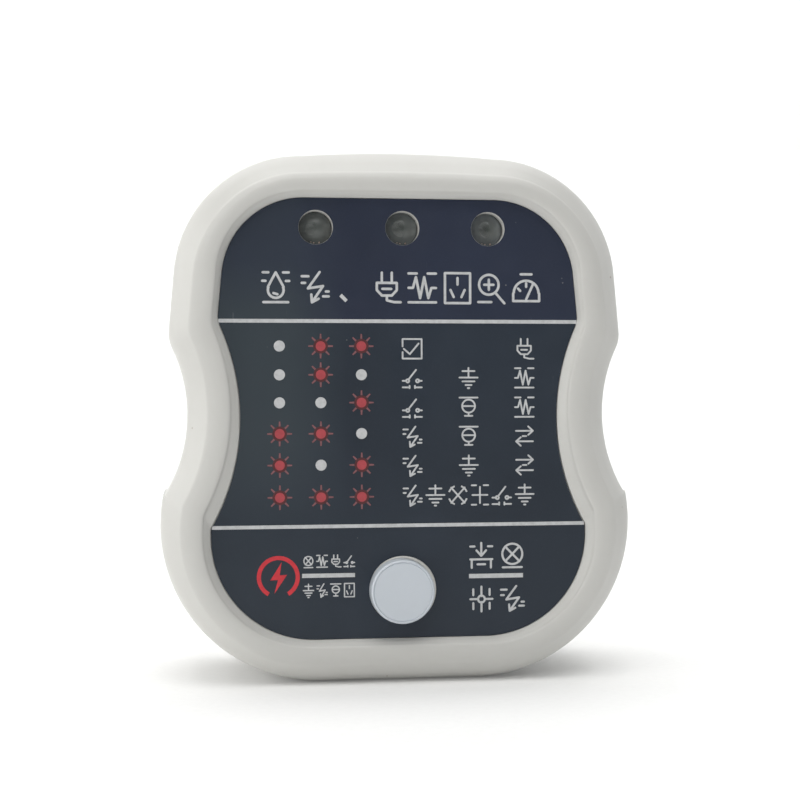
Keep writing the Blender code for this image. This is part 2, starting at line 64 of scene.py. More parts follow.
# ------------------------------------------------------------------ dimensions
Y_CREST, Y_LABEL, Y_POCKET, Y_FLOOR_BACK = -30.0, -28.4, -28.05, -25.3
Y_SPLIT, GAP = -12.5, 0.3
OUTER = dict(
    top=40.43, crown=0.55, x_up=33.92, r_up=19.27, kink_up=(34.76, 12.0),
    waist=(31.94, 0.7), kink_low=(35.3, -11.4), x_low=36.01, r_low=23.88, bottom=-39.70,
)
CREST = dict(
    top=33.75, crown=0.1, x_up=27.25, r_up=12.6, kink_up=(27.9, 14.2),
    waist=(25.15, 0.6), kink_low=(29.25, -14.3), x_low=29.3, r_low=15.9, bottom=-33.57,
)
LABEL = dict(
    top=33.16, crown=0.0, x_up=26.75, r_up=12.38, kink_up=(27.38, 14.74),
    waist=(24.06, 0.75), kink_low=(28.44, -16.33), x_low=28.45, r_low=15.47, bottom=-33.09,
)
RIM = 6.7
CASE_BOSSES = [(-24.0, 27.0), (24.0, 27.0), (-25.0, -25.0), (25.0, -25.0)]
BOARD_BOSSES = [(-16.0, 12.0), (16.0, -12.0)]
CARRIER_BOSSES = [(-11.5, 8.0), (11.5, 8.0)]
LED_X, LED_Z, LED_PITCH, LED_R, LED_TIP, LED_BASE = 0.4, 28.75, 13.1, 2.5, -28.2, -19.6
LEDS = {"left": LED_X - LED_PITCH, "centre": LED_X, "right": LED_X + LED_PITCH}
LED_HOLE, WINDOW = 2.7, 2.605
BTN_X, BTN_Z, BTN_R, BTN_FRONT = 0.1, -25.85, 4.8, -31.2
CAP_X, CAP_Z = BTN_X - 0.12, BTN_Z - 0.04
RING_X = BTN_X + 0.15
LN = 7.92
PINS = {
    "pin_live": (LN * math.cos(math.radians(30)), -LN / 2, -60.0, 18.0),
    "pin_neutral": (-LN * math.cos(math.radians(30)), -LN / 2, -120.0, 18.0),
    "pin_earth": (0.0, 10.31, -90.0, 21.0),
}


# ------------------------------------------------------------------ materials
class Nodes:
    """A node material under construction, in row-frame coordinates."""

    def __init__(self, name):
        self.mat = bpy.data.materials.new(name)
        self.mat.use_nodes = True
        self.tree = self.mat.node_tree
        self.bsdf = self.tree.nodes["Principled BSDF"]
        self.coords = self.tree.nodes.new("ShaderNodeTexCoord").outputs["Object"]

    def node(self, kind, **props):
        n = self.tree.nodes.new(kind)
        for k, v in props.items():
            setattr(n, k, v)
        return n

    def link(self, a, b):
        self.tree.links.new(a, b)

    def stretch(self, scale):
        m = self.node("ShaderNodeMapping")
        m.inputs["Scale"].default_value = scale
        self.link(self.coords, m.inputs["Vector"])
        return m.outputs["Vector"]

    def noise(self, scale, detail=2.0, rough=0.5, vector=None):
        n = self.node("ShaderNodeTexNoise")
        n.inputs["Scale"].default_value = scale
        n.inputs["Detail"].default_value = detail
        n.inputs["Roughness"].default_value = rough
        self.link(vector or self.coords, n.inputs["Vector"])
        return n.outputs["Fac"]

    def cells(self, scale, randomness=1.0, vector=None):
        n = self.node("ShaderNodeTexVoronoi")
        n.inputs["Scale"].default_value = scale
        n.inputs["Randomness"].default_value = randomness
        self.link(vector or self.coords, n.inputs["Vector"])
        return n.outputs["Distance"]

    def axis(self, which):
        split = self.node("ShaderNodeSeparateXYZ")
        self.link(self.coords, split.inputs[0])
        return split.outputs[which]

    def ramp(self, fac, stops, ease="LINEAR"):
        r = self.node("ShaderNodeValToRGB")
        r.color_ramp.interpolation = ease
        els = r.color_ramp.elements
        while len(els) < len(stops):
            els.new(0.5)
        for el, (pos, col) in zip(els, stops):
            el.position = pos
            el.color = (*col, 1.0) if isinstance(col, (tuple, list)) else (col, col, col, 1.0)
        self.link(fac, r.inputs["Fac"])
        return r.outputs["Color"]

    def mix(self, fac, a, b, mode="MIX"):
        m = self.node("ShaderNodeMix", data_type="RGBA", blend_type=mode)
        for socket, value in ((m.inputs[0], fac), (m.inputs[6], a), (m.inputs[7], b)):
            if isinstance(value, bpy.types.NodeSocket):
                self.link(value, socket)
            elif isinstance(value, (tuple, list)):
                socket.default_value = (*value, 1.0)
            else:
                socket.default_value = value
        return m.outputs[2]

    def math(self, op, a, b=0.0):
        m = self.node("ShaderNodeMath", operation=op)
        for socket, value in ((m.inputs[0], a), (m.inputs[1], b)):
            if isinstance(value, bpy.types.NodeSocket):
                self.link(value, socket)
            else:
                socket.default_value = value
        return m.outputs[0]

    def bump(self, height, distance, strength=1.0, after=None):
        b = self.node("ShaderNodeBump")
        b.inputs["Distance"].default_value = distance
        b.inputs["Strength"].default_value = strength
        self.link(height, b.inputs["Height"])
        if after is not None:
            self.link(after, b.inputs["Normal"])
        return b.outputs["Normal"]

    def done(self, colour=None, rough=None, normal=None, **fixed):
        for socket, value in (("Base Color", colour), ("Roughness", rough), ("Normal", normal)):
            if value is None:
                continue
            if isinstance(value, bpy.types.NodeSocket):
                self.link(value, self.bsdf.inputs[socket])
            elif isinstance(value, (tuple, list)):
                self.bsdf.inputs[socket].default_value = (*value, 1.0)
            else:
                self.bsdf.inputs[socket].default_value = value
        for key, value in fixed.items():
            self.bsdf.inputs[key.replace("_", " ")].default_value = value
        return self.mat


def shade(colour, k):
    return tuple(c * k for c in colour)


def case_plastic(name, base):
    """Satin injection-moulded plastic: faint flow mottling, fine spark texture and a few handling specks."""
    n = Nodes(name)
    cloud = n.noise(38.0, 3.0, 0.55)
    fine = n.noise(900.0, 3.0, 0.6)
    grain = n.noise(5200.0, 2.0, 0.5)
    tone = n.ramp(cloud, [(0.3, shade(base, 0.97)), (0.7, base)])
    tone = n.mix(n.ramp(fine, [(0.42, 0.0), (0.75, 0.10)]), tone, shade((base[0], base[1] * 0.985, base[2] * 0.95), 0.9))
    speck = n.cells(210.0)
    rare = n.noise(95.0, 1.0)
    mask = n.math("MULTIPLY", n.ramp(speck, [(0.028, 1.0), (0.05, 0.0)]), n.ramp(rare, [(0.62, 0.0), (0.68, 0.85)]))
    tone = n.mix(mask, tone, (0.30, 0.24, 0.18))
    rough = n.ramp(n.noise(140.0, 3.0), [(0.3, 0.31), (0.7, 0.43)])
    normal = n.bump(grain, 0.000012, 0.55)
    normal = n.bump(cloud, 0.0002, 0.12, after=normal)
    return n.done(tone, rough, normal, Specular_IOR_Level=0.42)


def film(name, base):
    """Dark printed polyester film: slight ink cloudiness, satin grain, dust and a few hairline scratches."""
    n = Nodes(name)
    cloud = n.noise(42.0, 3.0, 0.6)
    tone = n.ramp(cloud, [(0.3, shade(base, 0.86)), (0.72, shade(base, 1.12))])
    grain = n.noise(4200.0, 2.0, 0.6)
    tone = n.mix(n.ramp(grain, [(0.55, 0.0), (0.8, 0.22)]), tone, shade(base, 1.7))
    # bluer above the first rule, and a painted reflection: paler beside the left grip, where the surroundings reflect
    # softly in the film
    along = n.math("ADD", n.math("MULTIPLY", n.axis(0), 0.02 / MM), 0.5)
    height = n.math("ADD", n.math("MULTIPLY", n.axis(2), 0.02 / MM), 0.5)
    tone = n.mix(1.0, tone, n.ramp(height, [(0.789, (1.0, 1.0, 0.89)), (0.797, (1.0, 0.95, 1.03))]), "MULTIPLY")
    # painted reflection mask: paler towards the left and middle of the label
    painted_reflection = n.math("MULTIPLY", n.ramp(along, [(0.06, 0.9), (0.16, 0.9), (0.34, 0.0)]), n.ramp(height, [(0.18, 0.15), (0.44, 1.0), (0.82, 1.0), (0.98, 0.4)]))
    tone = n.mix(painted_reflection, tone, (0.0455, 0.0585, 0.0695))
    dust = n.cells(520.0)
    rare = n.noise(260.0, 1.0)
    mask = n.math("MULTIPLY", n.ramp(dust, [(0.04, 1.0), (0.075, 0.0)]), n.ramp(rare, [(0.63, 0.0), (0.68, 0.5)]))
    tone = n.mix(mask, tone, (0.34, 0.34, 0.33))
    hair = n.noise(60.0, 2.0, 0.5, n.stretch((26.0, 1.0, 1.2)))
    line = n.math("MULTIPLY", n.ramp(hair, [(0.695, 0.0), (0.702, 1.0), (0.712, 0.0)]), n.ramp(n.noise(52.0, 1.0), [(0.6, 0.0), (0.66, 0.24)]))
    tone = n.mix(line, tone, (0.26, 0.27, 0.29))
    rough = n.ramp(n.noise(300.0, 3.0), [(0.3, 0.33), (0.7, 0.45)])
    return n.done(tone, rough, n.bump(grain, 0.000006, 0.5), Specular_IOR_Level=0.28)


def ink(name, base):
    """Screen-printed ink: slightly uneven cover with pinholes."""
    n = Nodes(name)
    cover = n.noise(1500.0, 3.0, 0.6)
    tone = n.ramp(cover, [(0.3, shade(base, 0.84)), (0.6, base)])
    rough = n.ramp(cover, [(0.3, 0.5), (0.7, 0.62)])
    return n.done(tone, rough, n.bump(cover, 0.000006, 0.5), Specular_IOR_Level=0.35)


def moulding(name, base, rough=0.5, grain=3000.0):
    n = Nodes(name)
    cloud = n.noise(120.0, 3.0, 0.6)
    tone = n.ramp(cloud, [(0.3, shade(base, 0.88)), (0.7, shade(base, 1.08))])
    fine = n.noise(grain, 2.0, 0.6)
    r = n.ramp(n.noise(450.0, 2.0), [(0.3, rough - 0.05), (0.7, rough + 0.07)])
    return n.done(tone, r, n.bump(fine, 0.00001, 0.5))


def metal(name, base, rough=0.3, along=(60.0, 1.0, 60.0), dull=0.82):
    """Rolled or drawn metal: fine lines along the draw direction, patches of tarnish."""
    n = Nodes(name)
    lines = n.noise(900.0, 3.0, 0.65, n.stretch(along))
    patch = n.noise(160.0, 3.0, 0.6)
    tone = n.ramp(patch, [(0.32, shade(base, dull)), (0.66, base)])
    tone = n.mix(n.ramp(lines, [(0.45, 0.0), (0.8, 0.25)]), tone, shade(base, dull * 0.9))
    r = n.ramp(lines, [(0.3, rough - 0.06), (0.7, rough + 0.1)])
    return n.done(tone, r, n.bump(lines, 0.000004, 0.5), Metallic=1.0)


def laminate(name, base):
    """Phenolic board: fibre streaks and a sealed surface."""
    n = Nodes(name)
    fibre = n.noise(700.0, 4.0, 0.7, n.stretch((1.0, 1.0, 6.0)))
    tone = n.ramp(fibre, [(0.3, shade(base, 0.78)), (0.7, shade(base, 1.15))])
    pads = n.cells(390.0, 0.0)
    tone = n.mix(n.ramp(pads, [(0.16, 0.16), (0.2, 0.0)]), tone, shade(base, 0.6))
    return n.done(tone, n.ramp(fibre, [(0.3, 0.5), (0.7, 0.62)]), n.bump(fibre, 0.00001, 0.4))


def resin(name, cx, painted_light):
    """Clear cast resin, a little cloudy inside, with painted light: painted shade on the left of the dome and a painted
    highlight towards its right and round its edge, standing in for the light from the left gathering towards the right
    of the dome.
    """
    n = Nodes(name)
    cloud = n.noise(420.0, 2.0, 0.5)
    across = n.math("ADD", n.math("MULTIPLY", n.math("SUBTRACT", n.axis(0), cx * MM), 0.2 / MM), 0.5)
    # painted shade on the dome's left and a painted highlight towards its right, stronger on the LEDs further right
    tone = n.ramp(across, [(0.05, shade((0.145, 0.16, 0.152), 1.0 - 0.45 * painted_light)), (0.5, shade((0.155, 0.175, 0.165), 1.0 - 0.3 * painted_light)), (0.78, shade((0.17, 0.185, 0.175), 1.0 + 0.5 * painted_light)), (0.98, shade((0.2, 0.21, 0.195), 1.0 + 2.2 * painted_light))])
    tone = n.mix(n.ramp(cloud, [(0.3, 0.0), (0.7, 0.3)]), tone, (0.23, 0.255, 0.25))
    dx = n.math("MULTIPLY", n.math("SUBTRACT", n.axis(0), cx * MM), 0.4 / MM)
    dz = n.math("MULTIPLY", n.math("SUBTRACT", n.axis(2), LED_Z * MM), 0.4 / MM)
    spread = n.math("ADD", n.math("MULTIPLY", dx, dx), n.math("MULTIPLY", dz, dz))
    # painted highlight round the dome's edge, stronger on the LEDs further right
    tone = n.mix(n.ramp(spread, [(0.0, 0.0), (0.95, 0.75 * painted_light)], "EASE"), tone, (0.36, 0.40, 0.44))
    rough = n.ramp(n.noise(900.0, 2.0), [(0.3, 0.2), (0.7, 0.27)])
    return n.done(tone, rough, n.bump(n.noise(260.0, 1.0), 0.00001, 0.25), Transmission_Weight=0.5, IOR=1.5)


CASE = case_plastic("case_plastic", (0.64, 0.635, 0.61))
LABEL_FILM = film("label_film", (0.0275, 0.0365, 0.0575))
INK_WHITE = ink("ink_light_grey", (0.60, 0.61, 0.62))
INK_RED = ink("ink_red", (0.66, 0.045, 0.06))
INK_RED_DOT = ink("ink_red_dot", (0.455, 0.072, 0.085))
INK_RED_RAY = ink("ink_red_ray", (0.25, 0.105, 0.115))
INK_RED_HALO = ink("ink_red_halo", (0.108, 0.031, 0.034))
BUTTON = case_plastic("button_plastic", (0.625, 0.67, 0.725))
BRASS = metal("pin_brass", (0.80, 0.60, 0.30), 0.27, (40.0, 1.5, 40.0))
STEEL = metal("zinc_steel", (0.62, 0.61, 0.58), 0.32, (30.0, 30.0, 30.0))
TINNED = metal("tinned_wire", (0.74, 0.73, 0.70), 0.34, (30.0, 4.0, 30.0))
LEADFRAME = metal("lead_frame", (0.78, 0.60, 0.52), 0.35, (30.0, 3.0, 30.0))
SPRING = metal("spring_wire", (0.55, 0.54, 0.52), 0.28, (12.0, 12.0, 12.0))
BOARD = laminate("board_laminate", (0.44, 0.31, 0.13))
BLACK = moulding("black_moulding", (0.022, 0.022, 0.024))
GREY = moulding("grey_moulding", (0.27, 0.27, 0.28))


def banded(name, base, bands, centre, axis=0):
    """A lacquered component body with colour bands across its axis."""
    n = Nodes(name)
    split = n.node("ShaderNodeSeparateXYZ")
    n.link(n.coords, split.inputs[0])
    cloud = n.noise(700.0, 3.0, 0.6)
    tone = n.ramp(cloud, [(0.3, shade(base, 0.86)), (0.7, shade(base, 1.06))])
    for at, width, colour in bands:
        away = n.math("ABSOLUTE", n.math("SUBTRACT", split.outputs[axis], (centre + at) * MM))
        tone = n.mix(n.math("LESS_THAN", away, width / 2 * MM), tone, colour)
    # the bare leads beyond the body
    off = n.math("ABSOLUTE", n.math("SUBTRACT", split.outputs[axis], centre * MM))
    return n, tone, off


def component(name, base, bands, centre, half_body):
    n, tone, off = banded(name, base, bands, centre)
    bare = n.math("GREATER_THAN", off, half_body * MM)
    tone = n.mix(bare, tone, (0.70, 0.69, 0.66))
    n.link(bare, n.bsdf.inputs["Metallic"])
    return n.done(tone, n.ramp(n.noise(500.0, 2.0), [(0.3, 0.36), (0.7, 0.48)]))


# ------------------------------------------------------------------ mesh helpers
def put(name, bm, mat, sharp=35.0):
    bmesh.ops.recalc_face_normals(bm, faces=bm.faces)
    mesh = bpy.data.meshes.new(name)
    bm.to_mesh(mesh)
    bm.free()
    obj = bpy.data.objects.new(name, mesh)
    bpy.context.scene.collection.objects.link(obj)
    if mat is not None:
        mesh.materials.append(mat)
    mesh.shade_smooth()
    mesh.set_sharp_from_angle(angle=math.radians(sharp))
    return obj


def loft(name, rings, mat, sharp=38.0, capped=True):
    bm = bmesh.new()
    rows = [[bm.verts.new((p[0] * MM, p[1] * MM, p[2] * MM)) for p in ring] for ring in rings]
    count = len(rows[0])
    for a, b in zip(rows, rows[1:]):
        for i in range(count):
            j = (i + 1) % count
            bm.faces.new((a[i], a[j], b[j], b[i]))
    if capped:
        bm.faces.new(rows[0])
        bm.faces.new(rows[-1])
    return put(name, bm, mat, sharp)


def lathe(name, profile, x, z, mat, steps=64, sharp=35.0):
    """A turned piece about Y from (radius, y) points; radius 0 closes it on the axis."""
    bm = bmesh.new()
    rows = []
    for r, y in profile:
        if r <= 1e-6:
            rows.append([bm.verts.new((x * MM, y * MM, z * MM))])
        else:
            rows.append([
                bm.verts.new(((x + r * math.cos(math.tau * i / steps)) * MM, y * MM, (z + r * math.sin(math.tau * i / steps)) * MM))
                for i in range(steps)
            ])
    for a, b in zip(rows, rows[1:]):
        for i in range(steps):
            j = (i + 1) % steps
            if len(a) == 1:
                bm.faces.new((a[0], b[i], b[j]))
            elif len(b) == 1:
                bm.faces.new((a[i], a[j], b[0]))
            else:
                bm.faces.new((a[i], a[j], b[j], b[i]))
    if len(rows[0]) > 1 and len(rows[-1]) > 1:  # a ring section closes on itself
        for i in range(steps):
            j = (i + 1) % steps
            bm.faces.new((rows[-1][i], rows[-1][j], rows[0][j], rows[0][i]))
    return put(name, bm, mat, sharp)


def cylinder(radius, y0, y1, x, z, steps=48):
    return lathe("tool", [(0, y0), (radius, y0), (radius, y1), (0, y1)], x, z, None, steps)


def box_tool(size, centre, turn=0.0):
    bm = bmesh.new()
    bmesh.ops.create_cube(bm, size=1.0)
    bmesh.ops.scale(bm, vec=[s * MM for s in size], verts=bm.verts)
    bmesh.ops.rotate(bm, verts=bm.verts, matrix=Matrix.Rotation(math.radians(turn), 3, "Y"))
    bmesh.ops.translate(bm, verts=bm.verts, vec=[c * MM for c in centre])
    return put("tool", bm, None)


def combine(obj, tools, operation="DIFFERENCE"):
    """Applies Boolean operations to obj's mesh and removes the tools."""
    for tool in tools:
        mod = obj.modifiers.new("tool", "BOOLEAN")
        mod.operation, mod.solver, mod.object = operation, "EXACT", tool
    bpy.context.view_layer.update()
    mesh = bpy.data.meshes.new_from_object(obj.evaluated_get(bpy.context.evaluated_depsgraph_get()))
    old = obj.data
    obj.modifiers.clear()
    obj.data = mesh
    bpy.data.meshes.remove(old)
    for tool in tools:
        bpy.data.objects.remove(tool, do_unlink=True)
    return obj


def spline(points, per=6):
    """A smooth run of points through the given ones."""
    p = np.array(points, float)
    out = []
    for i in range(len(p) - 1):
        a, b, c, d = p[max(i - 1, 0)], p[i], p[i + 1], p[min(i + 2, len(p) - 1)]
        for k in range(per):
            t = k / per
            out.append(0.5 * (2 * b + (c - a) * t + (2 * a - 5 * b + 4 * c - d) * t * t + (3 * b - a - 3 * c + d) * t ** 3))
    out.append(p[-1])
    return [tuple(q) for q in out]


# ------------------------------------------------------------------ case outlines
def arc(cx, cz, r, a0, a1, n):
    a = np.radians(a0 + (a1 - a0) * np.arange(1, n + 1) / n)
    return [(cx + r * math.cos(t), cz + r * math.sin(t)) for t in a]


def arc_through(p0, p1, p2, n):
    (ax, az), (bx, bz), (cx, cz) = p0, p1, p2
    d = 2 * (ax * (bz - cz) + bx * (cz - az) + cx * (az - bz))
    ux = ((ax * ax + az * az) * (bz - cz) + (bx * bx + bz * bz) * (cz - az) + (cx * cx + cz * cz) * (az - bz)) / d
    uz = ((ax * ax + az * az) * (cx - bx) + (bx * bx + bz * bz) * (ax - cx) + (cx * cx + cz * cz) * (bx - ax)) / d
    a0 = math.degrees(math.atan2(az - uz, ax - ux)) % 360
    a2 = math.degrees(math.atan2(cz - uz, cx - ux)) % 360
    return arc(ux, uz, math.hypot(ax - ux, az - uz), a0, a2, n)


def line(p, q, n):
    return [(p[0] + (q[0] - p[0]) * i / n, p[1] + (q[1] - p[1]) * i / n) for i in range(1, n + 1)]


def outline(o, soften=9):
    xt = o["x_up"] - o["r_up"]
    half = [(xt * i / 12, o["top"] - o["crown"] * (i / 12) ** 2) for i in range(13)]
    cz = o["top"] - o["crown"] - o["r_up"]
    dx, dz = o["kink_up"][0] - xt, o["kink_up"][1] - cz
    end = math.degrees(math.atan2(dz, dx)) + math.degrees(math.acos(min(1.0, o["r_up"] / math.hypot(dx, dz))))
    half += arc(xt, cz, o["r_up"], 90, end, 34)
    half += line(half[-1], o["kink_up"], 12)
    k1 = len(half) - 1
    half += arc_through(o["kink_up"], o["waist"], o["kink_low"], 42)
    k2 = len(half) - 1
    xl, zl = o["x_low"] - o["r_low"], o["bottom"] + o["r_low"]
    dx, dz = o["kink_low"][0] - xl, o["kink_low"][1] - zl
    start = math.degrees(math.atan2(dz, dx)) - math.degrees(math.acos(min(1.0, o["r_low"] / math.hypot(dx, dz))))
    half += line(half[-1], (xl + o["r_low"] * math.cos(math.radians(start)), zl + o["r_low"] * math.sin(math.radians(start))), 10)
    half += arc(xl, zl, o["r_low"], start, -90, 46)
    half += line(half[-1], (0.0, o["bottom"]), 12)
    p = np.array(half + [(-x, z) for x, z in reversed(half[1:-1])])
    n = len(p)
    keep = np.zeros(n, bool)
    for k in (k1, k2):
        for i in range(-9, 10):
            keep[(k + i) % n] = keep[(n - k - i) % n] = True
    for _ in range(soften):
        q = 0.5 * p + 0.25 * (np.roll(p, 1, 0) + np.roll(p, -1, 0))
        p = np.where(keep[:, None], q, p)
    return p


LOOP_OUT, LOOP_CREST, LOOP_LABEL = outline(OUTER, 3), outline(CREST, 3), outline(LABEL, 2)


def at(loop, y):
    return [(x, y, z) for x, z in loop]


def rim_ring(inset, y):
    return at(LOOP_OUT + (LOOP_CREST - LOOP_OUT) * inset / RIM, y)


def crest_ring(inset, y):
    """A ring of the rim's outer half, where the crease lies a little further in along the top."""
    high = np.clip((LOOP_OUT[:, 1] - 20.0) / 16.0, 0.0, 1.0)
    hump = max(0.0, min((inset - 0.28) / 2.47, (5.0 - inset) / 2.25))
    moved = inset + 0.55 * hump * high * high * (3.0 - 2.0 * high)
    return at(LOOP_OUT + (LOOP_CREST - LOOP_OUT) * (moved / RIM)[:, None], y)


def label_ring(t, y):
    """t = 0 on the label's edge, 1 on the rim's inner edge."""
    return at(LOOP_LABEL + (LOOP_CREST - LOOP_LABEL) * t, y)


# ------------------------------------------------------------------ front cover
rim_section = spline([
    (-0.02, 5.6), (0.0, 4.8), (0.06, 4.1), (0.28, 3.42), (0.74, 2.7), (1.3, 2.06), (1.85, 1.545), (2.4, 1.03),
    (2.75, 0.705), (2.93, 0.56), (3.1, 0.46), (3.35, 0.355), (3.65, 0.255), (4.2, 0.11), (4.8, 0.025), (5.3, 0.0), (5.8, 0.04), (6.1, 0.12), (6.3, 0.25), (6.45, 0.5),
], 4)
front_rings = [rim_ring(5.9, Y_FLOOR_BACK), rim_ring(5.8, -27.2), rim_ring(4.8, -27.6), rim_ring(3.2, -27.4), rim_ring(2.2, -25.4), rim_ring(2.0, Y_SPLIT)]
front_rings += [rim_ring(-0.06, Y_SPLIT), rim_ring(-0.15, -12.58), rim_ring(-0.18, -12.8)]
front_rings += [rim_ring(-0.18 + 0.16 * k / 5, -12.8 - 11.0 * k / 5) for k in range(1, 6)]
front_rings += [crest_ring(s, Y_CREST + h) for s, h in rim_section]
wall_top, wall_foot = (1.0 - 0.02, Y_CREST + 0.72), (0.1, Y_LABEL + 0.02)
front_rings += [label_ring(wall_top[0] + (wall_foot[0] - wall_top[0]) * k / 4, wall_top[1] + (wall_foot[1] - wall_top[1]) * k / 4) for k in range(5)]
front_rings += [label_ring(0.06, Y_POCKET)]
front = loft("front_shell", front_rings, CASE, 50.0)
combine(front, [cylinder(3.0, -26.2, -12.0, x, z, 32) for x, z in CASE_BOSSES] + [cylinder(2.5, -26.2, -16.3, x, z, 32) for x, z in BOARD_BOSSES], "UNION")
combine(front, [cylinder(1.3, -21.0, -10.0, x, z, 24) for x, z in CASE_BOSSES] + [cylinder(1.15, -23.0, -15.0, x, z, 24) for x, z in BOARD_BOSSES])
combine(front, [cylinder(LED_HOLE, -29.0, -24.0, x, LED_Z, 64) for x in LEDS.values()] + [cylinder(4.9, -32.0, -24.0, BTN_X, BTN_Z, 96)])
# thin sleeves round the lamp windows, which stand in the label's holes
lips = [
    lathe("tool", [(2.565, -25.3), (2.565, -28.345), (2.575, -28.37), (2.585, -28.37), (2.595, -28.345), (2.595, -28.03), (2.76, -28.03), (2.76, -25.3)], x, LED_Z, CASE, 64)
    for x in LEDS.values()
]
combine(front, lips, "UNION")
# the low collar round the button, moulded with the shell, and the button's bore, a little off the label's hole
collar = lathe(
    "tool", [(4.3, -25.3), (4.3, -28.63), (4.86, -28.63), (4.93, -28.62), (5.0, -28.58), (5.06, -28.5), (5.1, -28.4), (5.1, -25.3)], RING_X, BTN_Z, CASE, 96,
)
combine(front, [collar], "UNION")
bore = lathe("tool", [(0.0, -32.0), (4.86, -32.0), (4.86, -24.0), (0.0, -24.0)], CAP_X, CAP_Z, CASE, 96)
combine(front, [bore])
front.data.shade_smooth()
front.data.set_sharp_from_angle(angle=math.radians(40))
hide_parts("front_cover")
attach(front, "case")

# ------------------------------------------------------------------ rear cover
rear_rings = [
    rim_ring(4.5, -2.0), rim_ring(2.9, -2.3), rim_ring(2.5, -2.9), rim_ring(2.0, -9.9), rim_ring(3.4, -10.9), rim_ring(3.4, -14.0),
    rim_ring(2.4, -14.0), rim_ring(2.4, -12.2), rim_ring(-0.06, -12.2), rim_ring(-0.15, -12.12), rim_ring(-0.18, -11.9),
]
rear_rings += [rim_ring(s, y) for s, y in spline([(-0.18, -11.9), (0.0, -7.5), (0.15, -4.2), (0.3, -2.9), (0.62, -1.75), (1.15, -0.9), (1.9, -0.3), (2.6, -0.05), (3.1, 0.0)], 4)[1:]]
rear = loft("rear_shell", rear_rings, CASE, 40.0)
combine(rear, [cylinder(3.7, -11.7, -1.0, x, z, 40) for x, z in CASE_BOSSES] + [cylinder(2.4, -4.3, -1.0, x, z, 32) for x, z in CARRIER_BOSSES], "UNION")
combine(
    rear,
    [cylinder(2.7, -5.7, 1.0, x, z, 48) for x, z in CASE_BOSSES] + [cylinder(1.4, -13.0, -5.0, x, z, 24) for x, z in CASE_BOSSES]
    + [cylinder(1.1, -5.0, -0.9, x, z, 24) for x, z in CARRIER_BOSSES],
)
combine(rear, [box_tool((6.9, 6.0, 2.1), (x, -1.0, z), turn) for x, z, turn, _ in PINS.values()])
rear.data.shade_smooth()
rear.data.set_sharp_from_angle(angle=math.radians(40))
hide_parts("rear_cover")
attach(rear, "case")

# ------------------------------------------------------------------ label
label_rings = [label_ring(-0.02, Y_POCKET - 0.01), label_ring(-0.02, Y_LABEL + 0.05), label_ring(-0.06, Y_LABEL)]
label = loft("label_sheet", label_rings, LABEL_FILM, 30.0)
combine(label, [cylinder(WINDOW, -29.0, -27.0, x, LED_Z, 64) for x in LEDS.values()] + [cylinder(5.12, -31.0, -24.0, RING_X, BTN_Z, 96)])
label.data.shade_flat()
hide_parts("label_plate")
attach(label, "case")


# ------------------------------------------------------------------ printed marks
class Print:
    """Printed shapes on the label, gathered stroke by stroke and joined into one thin layer of ink."""

    def __init__(self):
        self.shapes = []

    def poly(self, points):
        turn = sum(p[0] * q[1] - q[0] * p[1] for p, q in zip(points, points[1:] + points[:1]))
        self.shapes.append(list(points) if turn > 0 else list(reversed(points)))

    def disc(self, x, z, r, n=24):
        self.poly([(x + r * math.cos(math.tau * i / n), z + r * math.sin(math.tau * i / n)) for i in range(n)])

    def bar(self, p, q, w, taper=1.0):
        dx, dz = q[0] - p[0], q[1] - p[1]
        length = math.hypot(dx, dz) or 1e-9
        nx, nz = -dz / length * w / 2, dx / length * w / 2
        self.poly([(p[0] + nx, p[1] + nz), (p[0] - nx, p[1] - nz), (q[0] - nx * taper, q[1] - nz * taper), (q[0] + nx * taper, q[1] + nz * taper)])

    def path(self, points, w, closed=False):
        pts = list(points) + ([points[0]] if closed else [])
        for p, q in zip(pts, pts[1:]):
            self.bar(p, q, w)
        for p in pts:
            self.disc(p[0], p[1], w / 2, 8)

    def ring(self, x, z, r, w, a0=0.0, a1=360.0, n=28):
        steps = max(3, int(n * abs(a1 - a0) / 360))
        for i in range(steps):
            b0, b1 = (math.radians(a0 + (a1 - a0) * k / steps) for k in (i, i + 1))
            self.poly([
                (x + (r - w / 2) * math.cos(b0), z + (r - w / 2) * math.sin(b0)), (x + (r + w / 2) * math.cos(b0), z + (r + w / 2) * math.sin(b0)),
                (x + (r + w / 2) * math.cos(b1), z + (r + w / 2) * math.sin(b1)), (x + (r - w / 2) * math.cos(b1), z + (r - w / 2) * math.sin(b1)),
            ])

    def done(self, name, mat, thick=0.025):
        points, faces = [], []
        for shape in self.shapes:
            faces.append(list(range(len(points), len(points) + len(shape))))
            points += [Vector(p) for p in shape]
        verts, _, tris = delaunay_2d_cdt(points, [], faces, 0, 1e-4)[:3]
        flat = np.array([(p.x, p.y) for p in verts])
        tris = np.array([t for t in tris])
        mid = flat[tris].mean(1)
        inside = np.zeros(len(tris), bool)
        for shape in self.shapes:
            p = np.array(shape)
            near = np.nonzero((mid >= p.min(0)).all(1) & (mid <= p.max(0)).all(1) & ~inside)[0]
            if not len(near):
                continue
            odd = np.zeros(len(near), bool)
            mx, mz = mid[near, 0], mid[near, 1]
            for (x0, z0), (x1, z1) in zip(p, np.roll(p, -1, 0)):
                if z0 != z1:
                    odd ^= ((z0 > mz) != (z1 > mz)) & (mx < (x1 - x0) * (mz - z0) / (z1 - z0) + x0)
            inside[near[odd]] = True
        bm = bmesh.new()
        made = [bm.verts.new((p.x * MM, (Y_LABEL + 0.01) * MM, p.y * MM)) for p in verts]
        for tri in tris[inside]:
            bm.faces.new([made[i] for i in tri])
        bmesh.ops.delete(bm, geom=[v for v in bm.verts if not v.link_faces], context="VERTS")
        top = bmesh.ops.extrude_face_region(bm, geom=list(bm.faces), use_keep_orig=True)["geom"]
        bmesh.ops.translate(bm, verts=[g for g in top if isinstance(g, bmesh.types.BMVert)], vec=(0, -(thick + 0.01) * MM, 0))
        obj = put(name, bm, mat)
        obj.data.shade_flat()
        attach(obj, "case")
        return obj


